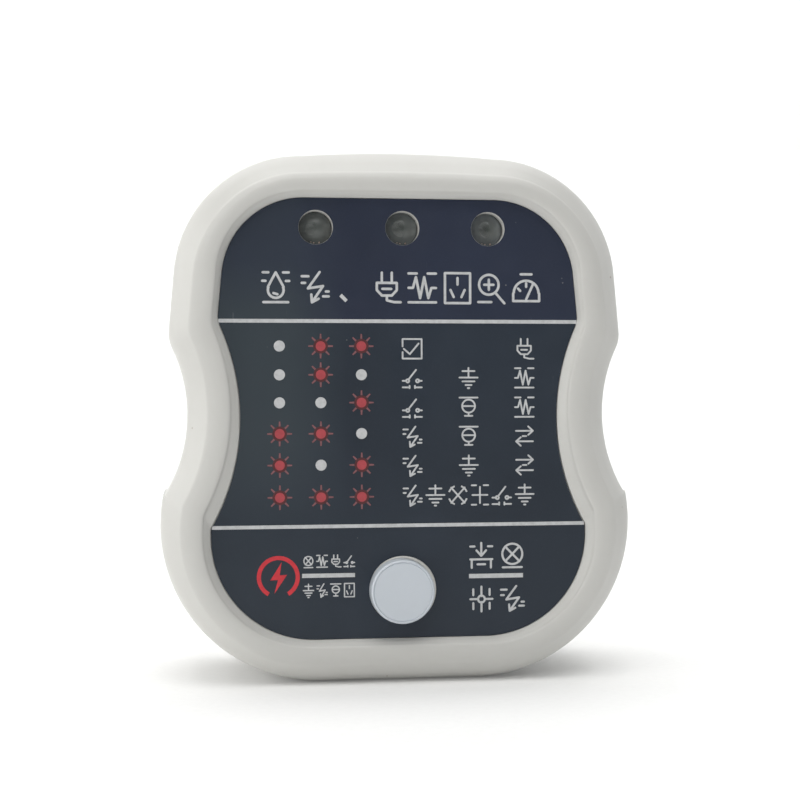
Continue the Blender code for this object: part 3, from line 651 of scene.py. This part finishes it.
# pictograms in a unit cell: lists of paths, and rings as (x, z, radius, from, to)
PICTOGRAMS = {
    "tick": ([[(0.0, 0.62), (0.0, 0.98), (1.0, 0.98), (1.0, 0.02), (0.0, 0.02), (0.0, 0.34)], [(0.06, 0.5), (0.38, 0.24), (0.84, 0.76)]], []),
    "cross": ([[(0.14, 0.12), (0.86, 0.88)], [(0.14, 0.88), (0.86, 0.12)]], [(0.5, 0.5, 0.5, 20, 70), (0.5, 0.5, 0.5, 110, 160), (0.5, 0.5, 0.5, 200, 250), (0.5, 0.5, 0.5, 290, 340)]),
    "earth": ([[(0.5, 1.0), (0.5, 0.52)], [(0.02, 0.52), (0.98, 0.52)], [(0.18, 0.33), (0.82, 0.33)], [(0.34, 0.15), (0.66, 0.15)], [(0.46, 0.0), (0.54, 0.0)], [(0.18, 0.84), (0.82, 0.84)]], []),
    "bolt": ([[(0.66, 1.0), (0.24, 0.46), (0.78, 0.54), (0.38, 0.0)], [(0.38, 0.0), (0.36, 0.26)], [(0.38, 0.0), (0.62, 0.12)], [(0.02, 0.86), (0.26, 0.86)], [(0.02, 0.64), (0.14, 0.64)], [(0.78, 0.2), (0.98, 0.2)], [(0.88, 0.36), (0.98, 0.36)]], []),
    "neutral": ([[(0.2, 0.56), (0.8, 0.56)], [(0.02, 0.98), (0.98, 0.98)], [(0.3, 0.08), (0.7, 0.08)], [(0.5, 0.18), (0.5, 0.08)]], [(0.5, 0.56, 0.34, 0, 360)]),
    "open": ([[(0.0, 0.36), (0.2, 0.36)], [(0.3, 0.42), (0.7, 0.9)], [(0.84, 0.36), (1.0, 0.36)], [(0.0, 0.04), (0.36, 0.04)], [(0.64, 0.04), (1.0, 0.04)], [(0.36, 0.12), (0.36, 0.0)], [(0.64, 0.12), (0.64, 0.0)]], [(0.26, 0.36, 0.08, 0, 360), (0.78, 0.36, 0.08, 0, 360)]),
    "swap": ([[(0.05, 0.76), (0.95, 0.76)], [(0.95, 0.76), (0.7, 0.98)], [(0.95, 0.76), (0.7, 0.56)], [(0.95, 0.24), (0.05, 0.24)], [(0.05, 0.24), (0.3, 0.02)], [(0.05, 0.24), (0.3, 0.44)], [(0.4, 0.5), (0.6, 0.5)]], []),
    "wire": ([[(0.0, 0.5), (0.16, 0.5), (0.27, 0.86), (0.42, 0.16), (0.57, 0.86), (0.72, 0.16), (0.83, 0.5), (1.0, 0.5)], [(0.0, 0.98), (0.3, 0.98)], [(0.7, 0.98), (1.0, 0.98)], [(0.0, 0.02), (1.0, 0.02)]], []),
    "and": ([[(0.5, 0.9), (0.5, 0.1)], [(0.1, 0.5), (0.9, 0.5)], [(0.06, 0.98), (0.3, 0.98)], [(0.7, 0.98), (0.94, 0.98)], [(0.06, 0.02), (0.3, 0.02)], [(0.7, 0.02), (0.94, 0.02)]], []),
    "plug": ([[(0.14, 0.66), (0.86, 0.66), (0.86, 0.42), (0.68, 0.24), (0.32, 0.24), (0.14, 0.42), (0.14, 0.66)], [(0.32, 0.66), (0.32, 1.0)], [(0.68, 0.66), (0.68, 1.0)], [(0.5, 0.24), (0.5, 0.08), (0.76, 0.02), (1.0, 0.02)], [(0.34, 0.46), (0.66, 0.46)]], []),
    "socket": ([[(0.04, 0.0), (0.96, 0.0), (0.96, 1.0), (0.04, 1.0), (0.04, 0.0)], [(0.5, 0.84), (0.5, 0.62)], [(0.24, 0.44), (0.36, 0.2)], [(0.76, 0.44), (0.64, 0.2)]], []),
    "drop": ([[(0.5, 0.98), (0.22, 0.5)], [(0.5, 0.98), (0.78, 0.5)], [(0.06, 0.0), (0.94, 0.0)], [(0.04, 0.98), (0.24, 0.98)], [(0.76, 0.98), (0.96, 0.98)], [(0.02, 0.7), (0.14, 0.7)], [(0.86, 0.7), (0.98, 0.7)], [(0.42, 0.3), (0.56, 0.26)]], [(0.5, 0.4, 0.28, 155, 385)]),
    "lens": ([[(0.64, 0.36), (0.98, 0.0)], [(0.24, 0.62), (0.58, 0.62)], [(0.41, 0.79), (0.41, 0.45)], [(0.02, 0.04), (0.5, 0.04)]], [(0.41, 0.62, 0.36, 0, 360)]),
    "meter": ([[(0.02, 0.08), (0.98, 0.08)], [(0.5, 0.14), (0.76, 0.66)], [(0.02, 0.08), (0.02, 0.34)], [(0.98, 0.08), (0.98, 0.34)], [(0.5, 0.68), (0.5, 0.56)], [(0.2, 0.5), (0.28, 0.42)], [(0.3, 0.98), (0.7, 0.98)]], [(0.5, 0.34, 0.46, 0, 180)]),
    "lamp": ([[(0.2, 0.24), (0.8, 0.84)], [(0.2, 0.84), (0.8, 0.24)], [(0.1, 0.0), (0.9, 0.0)]], [(0.5, 0.54, 0.42, 0, 360)]),
    "press": ([[(0.5, 1.0), (0.5, 0.5)], [(0.5, 0.48), (0.3, 0.7)], [(0.5, 0.48), (0.7, 0.7)], [(0.04, 0.34), (0.96, 0.34)], [(0.1, 0.34), (0.1, 0.0)], [(0.9, 0.34), (0.9, 0.0)], [(0.34, 0.14), (0.66, 0.14)], [(0.04, 0.86), (0.22, 0.86)], [(0.78, 0.86), (0.96, 0.86)]], []),
    "slice": ([[(0.5, 1.0), (0.5, 0.62)], [(0.5, 0.38), (0.5, 0.0)], [(0.04, 0.5), (0.3, 0.5)], [(0.7, 0.5), (0.96, 0.5)], [(0.16, 0.9), (0.16, 0.66)], [(0.84, 0.9), (0.84, 0.66)], [(0.16, 0.34), (0.16, 0.1)], [(0.84, 0.34), (0.84, 0.1)]], [(0.5, 0.5, 0.14, 0, 360)]),
}


def picto(ink_pad, name, x, z, size, w, tall=1.0):
    paths, circles = PICTOGRAMS[name]
    ox, oz = x - size / 2, z - size * tall / 2
    for path in paths:
        ink_pad.path([(ox + u * size, oz + v * size * tall) for u, v in path], w)
    for u, v, r, a0, a1 in circles:
        ink_pad.ring(ox + u * size, oz + v * size * tall, r * size, w, a0, a1)


white, red, dots, rays, halos = (Print() for _ in range(5))
# title row
for name, x in (("drop", -18.7), ("bolt", -12.8), ("plug", -2.0), ("wire", 3.4), ("socket", 8.8), ("lens", 14.0), ("meter", 19.4)):
    picto(white, name, x, 19.75, 4.2, 0.38, 1.08)
white.bar((-9.0, 18.6), (-8.1, 17.7), 0.55, 0.9)
# dividing lines
white.bar((-27.25, 14.69), (27.25, 14.69), 0.56)
white.bar((-28.3, -16.13), (28.3, -16.13), 0.54)
# lamp table
rows_z = [10.93, 6.63, 2.44, -2.21, -6.93, -11.75]
cols_x = [-18.21, -12.03, -5.9]
table = ["WRR", "WRW", "WWR", "RRW", "RWR", "RRR"]
for z, row in zip(rows_z, table):
    for x, state in zip(cols_x, row):
        if state == "W":
            white.disc(x, z, 0.83, 32)
        else:
            dots.disc(x, z, 0.74, 32)
            halos.ring(x, z, 0.915, 0.33, n=32)
            for k in range(8):
                a = math.tau * k / 8
                rays.bar((x + 1.12 * math.cos(a), z + 1.12 * math.sin(a)), (x + 1.84 * math.cos(a), z + 1.84 * math.sin(a)), 0.3, 0.7)
# state column
text_z = [10.54, 6.13, 1.67, -2.75, -7.16, -11.66]
C = [1.81, 10.43, 19.06]
states = [
    [("tick", C[0]), ("plug", C[2])],
    [("open", C[0]), ("earth", C[1]), ("wire", C[2])],
    [("open", C[0]), ("neutral", C[1]), ("wire", C[2])],
    [("bolt", C[0]), ("neutral", C[1]), ("swap", C[2])],
    [("bolt", C[0]), ("earth", C[1]), ("swap", C[2])],
    [("bolt", 1.81), ("earth", 5.28), ("cross", 8.74), ("and", 12.13), ("open", 15.5), ("earth", 19.06)],
]
for z, row in zip(text_z, states):
    for name, x in row:
        picto(white, name, x, z, 2.9, 0.26, 1.06)
# test block at the lower right
for name, x, z in (("press", 12.3, -20.85), ("lamp", 17.1, -20.85), ("slice", 12.3, -27.5), ("bolt", 17.1, -27.5)):
    picto(white, name, x, z, 3.7, 0.32, 1.02)
white.bar((10.4, -23.98), (18.75, -23.98), 0.66)
# plain mark at the lower left: a bolt in an open ring, with a rule and two rows of small signs
red.ring(-18.5, -23.65, 2.9, 0.62, -60, 240, 40)
red.poly([(-18.0, -21.4), (-19.7, -24.1), (-18.55, -24.05), (-19.1, -26.1), (-17.2, -23.3), (-18.3, -23.35)])
white.bar((-14.95, -23.5), (-7.0, -23.5), 0.62)
for i, name in enumerate(("lamp", "wire", "plug", "open")):
    picto(white, name, -14.0 + i * 2.05, -21.35, 1.6, 0.19, 1.15)
for i, name in enumerate(("earth", "bolt", "neutral", "socket")):
    picto(white, name, -14.0 + i * 2.05, -25.75, 1.6, 0.19, 1.25)
white.done("label_print_light", INK_WHITE)
red.done("label_print_red", INK_RED)
dots.done("label_print_lamp_dots", INK_RED_DOT)
rays.done("label_print_lamp_rays", INK_RED_RAY)
halos.done("label_print_lamp_halos", INK_RED_HALO)

# ------------------------------------------------------------------ LEDs
for side, x in LEDS.items():
    tip, rise = LED_TIP + 0.4, 1.2
    dome = [(LED_R * k / 12, tip + rise * (k / 12) ** 2) for k in range(13)]
    dome += [(LED_R, -21.0), (LED_R, LED_BASE - 1.0), (LED_R + 0.32, LED_BASE - 1.0), (LED_R + 0.4, LED_BASE - 0.92), (LED_R + 0.4, LED_BASE), (0.0, LED_BASE)]
    # each LED gets its own amount of painted shade and painted highlight in the resin, more towards the right
    body = lathe(f"led_{side}_lens", dome, x, LED_Z, resin(f"led_resin_{side}", x, {"left": 0.3, "centre": 0.65, "right": 1.0}[side]), 48, 40.0)
    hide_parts(f"led_{side}")
    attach(body, "case")
    # lead frame cast inside: a post, an anvil with its cup, and a bond wire
    bm = bmesh.new()

    def slab(cx, cy, cz, sx, sy, sz, turn=0.0):
        made = bmesh.ops.create_cube(bm, size=1.0)["verts"]
        bmesh.ops.scale(bm, vec=(sx * MM, sy * MM, sz * MM), verts=made)
        bmesh.ops.rotate(bm, verts=made, matrix=Matrix.Rotation(math.radians(turn), 3, "Y"))
        bmesh.ops.translate(bm, verts=made, vec=(cx * MM, cy * MM, cz * MM))

    slab(x - 1.05, -21.3, LED_Z, 0.5, 3.0, 0.45)
    slab(x - 0.55, -23.1, LED_Z, 1.9, 0.9, 0.45)
    slab(x + 1.05, -21.5, LED_Z, 0.45, 3.4, 0.42)
    slab(x + 0.95, -23.4, LED_Z, 0.75, 0.5, 0.42)
    for k, off in enumerate((-0.62, -0.2, 0.18, 0.6)):
        slab(x + off, -26.66, LED_Z - 1.8 - 0.14 * (k % 2), 0.2, 0.56, 0.6)
    for k in range(7):
        a0, a1 = math.pi * k / 7, math.pi * (k + 1) / 7
        p = Vector((x + 0.25 - 0.6 * math.cos(a0), -23.7 - 0.55 * math.sin(a0), LED_Z))
        q = Vector((x + 0.25 - 0.6 * math.cos(a1), -23.7 - 0.55 * math.sin(a1), LED_Z))
        m = (p + q) / 2
        slab(m.x, m.y, m.z, abs(q.x - p.x) + 0.05, abs(q.y - p.y) + 0.05, 0.06)
    inner = put(f"led_{side}_frame", bm, LEADFRAME)
    bevel = inner.modifiers.new("soft", "BEVEL")
    bevel.width, bevel.segments, bevel.limit_method = 0.03 * MM, 1, "ANGLE"
    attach(inner, "case")
    cup = lathe(f"led_{side}_cup", [(0, -23.55), (0.28, -23.55), (0.52, -23.95), (0.62, -23.95), (0.55, -23.3), (0, -23.3)], x - 0.35, LED_Z, TINNED, 24)
    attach(cup, "case")

# ------------------------------------------------------------------ button
F = BTN_FRONT
cap = lathe(
    "test_button_cap",
    [(0.0, F + 0.07)] + spline([(1.2, F + 0.07), (2.8, F + 0.07), (4.0, F + 0.07), (4.29, F + 0.08), (4.33, F + 0.11), (4.37, F + 0.16), (4.41, F + 0.11), (4.45, F + 0.04), (4.50, F + 0.02), (4.58, F + 0.04), (4.67, F + 0.11), (4.75, F + 0.22), (4.79, F + 0.36), (BTN_R, F + 0.55)], 3)
    + [(BTN_R + 0.03, -28.8), (BTN_R + 0.03, -27.5), (BTN_R + 0.03, -25.0), (5.2, -25.0), (5.2, -24.4), (3.2, -24.4), (3.2, -25.9), (0.0, -25.9)],
    CAP_X, CAP_Z, BUTTON, 96,
)
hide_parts("button_cap")
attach(cap, "test_button")

# the return spring, which on the real tester shortens as the button goes in; here it is one fixed coil at rest length
COIL_R, WIRE, TURNS, Y0, Y1 = 2.45, 0.2, 5.0, -25.35, -21.35
bm = bmesh.new()
steps, around = 150, 10
previous = None
for i in range(steps + 1):
    t = i / steps * TURNS
    climb = min(max((t - 0.6) / (TURNS - 1.2), 0.0), 1.0)
    flat = 0.4 * (min(t, 0.6) + max(t - TURNS + 0.6, 0.0)) / 1.2
    y = Y0 + (Y1 - Y0 - 0.4) * climb + flat
    a = t * math.tau
    ring = [
        bm.verts.new((
            (BTN_X + (COIL_R + WIRE * math.cos(b)) * math.cos(a)) * MM,
            (y + WIRE * math.sin(b)) * MM,
            (BTN_Z + (COIL_R + WIRE * math.cos(b)) * math.sin(a)) * MM,
        ))
        for b in (math.tau * k / around for k in range(around))
    ]
    if previous:
        for k in range(around):
            bm.faces.new((previous[k], previous[(k + 1) % around], ring[(k + 1) % around], ring[k]))
    else:
        bm.faces.new(ring)
    previous = ring
bm.faces.new(previous)
coil = put("return_spring", bm, SPRING)
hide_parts("button_spring")
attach(coil, "case")
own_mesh(coil)

# ------------------------------------------------------------------ pins
for name, (x, z, turn, length) in PINS.items():
    bm = bmesh.new()
    half, wide, tail = 3.15, 4.2, 1.5
    side = [(tail, -8.0), (tail, -4.3), (wide, -4.3), (wide, -2.3), (half, -2.3), (half, length - 1.6)]
    tip = [(half - 0.05, length - 1.2), (half - 0.25, length - 0.72), (half - 0.6, length - 0.32), (half - 1.1, length - 0.06), (half - 1.5, length)]
    profile = side + tip
    loop = profile + [(-u, v) for u, v in reversed(profile)]
    face = bm.faces.new([bm.verts.new((u * MM, v * MM, -0.75 * MM)) for u, v in loop])
    made = bmesh.ops.extrude_face_region(bm, geom=[face])["geom"]
    bmesh.ops.translate(bm, verts=[g for g in made if isinstance(g, bmesh.types.BMVert)], vec=(0, 0, 1.5 * MM))
    bmesh.ops.rotate(bm, verts=bm.verts, matrix=Matrix.Rotation(math.radians(turn), 3, "Y"))
    bmesh.ops.translate(bm, verts=bm.verts, vec=(x * MM, 0, z * MM))
    blade = put(f"{name}_blade", bm, BRASS, 30.0)
    bevel = blade.modifiers.new("edges", "BEVEL")
    bevel.width, bevel.segments, bevel.limit_method, bevel.angle_limit = 0.28 * MM, 3, "ANGLE", math.radians(50)
    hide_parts(name)
    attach(blade, "case")

# ------------------------------------------------------------------ case screws seen in their counterbores
for i, (x, z) in enumerate(CASE_BOSSES):
    y = -5.4
    head = lathe(
        f"case_screw_{i + 1}_fine",
        [(0, y - 13.0), (0.4, y - 12.8), (0.95, y - 11.6), (1.0, y - 11.2), (1.0, y - 0.2), (1.1, y), (2.22, y), (2.3, y + 0.1)]
        + spline([(2.3, y + 0.1), (2.28, y + 0.75), (2.05, y + 1.2), (1.6, y + 1.5), (0.9, y + 1.66), (0.0, y + 1.7)], 4)[1:],
        x, z, STEEL, 40, 30.0,
    )
    turn = 20.0 + 31.0 * i
    combine(head, [box_tool((2.6, 2.0, 0.5), (x, y + 1.75, z), turn), box_tool((2.6, 2.0, 0.5), (x, y + 1.75, z), turn + 90.0)])
    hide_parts(f"case_screw_{i + 1}")
    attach(head, "case")

# ------------------------------------------------------------------ better materials for the pieces inside
dress = {
    "circuit_board": BOARD, "led_spacer": BLACK, "pin_carrier": BLACK, "switch_plunger": BLACK, "switch_body": GREY,
    "wire_live": moulding("wire_red_pvc", (0.5, 0.03, 0.025), 0.38, 900.0),
    "wire_neutral": moulding("wire_blue_pvc", (0.03, 0.11, 0.42), 0.38, 900.0),
    "wire_earth": moulding("wire_green_pvc", (0.08, 0.34, 0.07), 0.38, 900.0),
}
for i in (1, 2, 3):
    dress[f"resistor_{i}"] = component(
        f"resistor_{i}_lacquer", (0.22, 0.45, 0.58),
        [(-3.3, 0.7, (0.45, 0.02, 0.02)), (-1.6, 0.6, (0.02, 0.02, 0.02)), (0.0, 0.6, (0.02, 0.02, 0.02)), (1.5, 0.6, (0.45, 0.16, 0.02)), (3.3, 0.7, (0.25, 0.1, 0.03))],
        -8.5, 4.55,
    )
    dress[f"diode_{i}"] = component(f"diode_{i}_epoxy", (0.02, 0.02, 0.022), [(1.75, 0.8, (0.7, 0.7, 0.7))], 9.0, 2.62)
dress["power_resistor"] = component("power_resistor_coat", (0.34, 0.40, 0.43), [(-5.2, 1.0, (0.02, 0.3, 0.05)), (-3.0, 0.9, (0.4, 0.02, 0.02)), (-0.8, 0.9, (0.5, 0.2, 0.02))], 0.0, 7.55)
for name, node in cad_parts.items():
    if name in dress:
        mat = dress[name]
    elif "screw" in name:
        mat = STEEL
    elif "lead" in name:
        mat = TINNED
    else:
        continue
    node.data.materials.clear()
    node.data.materials.append(mat)
    node.data.shade_smooth()
    node.data.set_sharp_from_angle(angle=math.radians(35))

# ------------------------------------------------------------------ floor and backdrop in one sweep, a translucent sheet lit softly from below
floor_z = CAD_BOX[0].z * 1000.0
bm = bmesh.new()
profile = [(-1500.0, floor_z), (-600.0, floor_z), (300.0, floor_z)]
profile += [(300.0 + 350.0 * math.sin(math.radians(a)), floor_z + 350.0 * (1 - math.cos(math.radians(a)))) for a in range(6, 91, 6)]
profile += [(650.0, floor_z + 900.0), (650.0, floor_z + 1800.0)]
columns = [[bm.verts.new((x * MM, y * MM, z * MM)) for y, z in profile] for x in (-1600.0, -500.0, 500.0, 1600.0)]
for a, b in zip(columns, columns[1:]):
    for i in range(len(a) - 1):
        bm.faces.new((a[i], b[i], b[i + 1], a[i + 1]))
n = Nodes("pale_paper")
paper = n.noise(900.0, 3.0, 0.6)
pale = n.done(n.ramp(paper, [(0.3, (0.87, 0.87, 0.865)), (0.7, (0.90, 0.90, 0.895))]), 0.8, n.bump(paper, 0.00002, 0.2), Specular_IOR_Level=0.1, Emission_Strength=0.06)
sweep = put("floor", bm, pale, 60.0)
for f in sweep.data.polygons:
    f.use_smooth = True

# ------------------------------------------------------------------ camera: 7 degrees to the left of square on, level with the middle
scene = bpy.context.scene
az, el, roll, distance = math.radians(-7.16), math.radians(0.26), math.radians(-0.23), 220.0
back = Vector((math.sin(az) * math.cos(el), -math.cos(az) * math.cos(el), math.sin(el)))
target = Vector((0.0, Y_LABEL, 0.0))
cam_data = bpy.data.cameras.new("camera")
cam_data.sensor_width = 36.0
cam_data.lens = distance / 0.151 * 36.0 / 800.0
cam_data.shift_x, cam_data.shift_y = -0.49 / 800.0, 18.62 / 800.0
cam_data.clip_start, cam_data.clip_end = 0.01, 20.0
cam = bpy.data.objects.new("camera", cam_data)
cam.location = (target + back * distance) * MM
right = (-back).cross(Vector((0, 0, 1))).normalized()
up = right.cross(-back)
r2 = right * math.cos(roll) + up * math.sin(roll)
u2 = -right * math.sin(roll) + up * math.cos(roll)
cam.rotation_mode = "QUATERNION"
cam.rotation_quaternion = Matrix((r2, u2, back)).transposed().to_quaternion()
scene.collection.objects.link(cam)
scene.camera = cam

# ------------------------------------------------------------------ light: a broad window to the upper left, soft fill all round
world = bpy.data.worlds.new("studio")
world.use_nodes = True
world.node_tree.nodes["Background"].inputs["Color"].default_value = (0.985, 0.995, 1.0, 1.0)
world.node_tree.nodes["Background"].inputs["Strength"].default_value = 0.12
scene.world = world
scene.view_settings.view_transform = "Standard"
scene.view_settings.look = "None"


def area(name, where, towards, size, watts, colour=(1, 1, 1)):
    light = bpy.data.lights.new(name, "AREA")
    light.shape = "RECTANGLE"
    light.size, light.size_y = size
    light.energy = watts
    light.color = colour
    obj = bpy.data.objects.new(name, light)
    obj.location = Vector(where)
    obj.rotation_mode = "QUATERNION"
    obj.rotation_quaternion = (Vector(where) - Vector(towards)).to_track_quat("Z", "Y")
    scene.collection.objects.link(obj)
    return obj


area("top_softbox", (0.0, -0.14, 0.42), (0, -0.02, 0), (0.36, 0.36), 1.12, (1.0, 1.0, 0.985))
area("left_softbox", (-0.5, -0.12, 0.12), (0, -0.02, 0), (0.4, 0.4), 1.07, (1.0, 0.995, 0.965))
area("front_left", (-0.5, -0.7, 0.45), (0, -0.02, 0), (0.6, 0.6), 0.93)
area("front_top", (0.05, -0.35, 0.38), (0, -0.02, 0), (0.4, 0.3), 0.19)
area("left_back", (-0.5, 0.15, 0.25), (0, -0.02, 0), (0.4, 0.4), 0.36)
area("right_back", (0.5, 0.15, 0.2), (0, -0.02, 0), (0.4, 0.4), 0.37, (0.96, 0.985, 1.0))
area("floor_wash", (0.0, 0.2, 0.9), (0.0, 0.62, 0.05), (1.4, 0.3), 3.8)
area("backdrop_wash", (0.0, 0.42, 0.55), (0.0, 0.66, 0.1), (1.0, 0.12), 1.5)
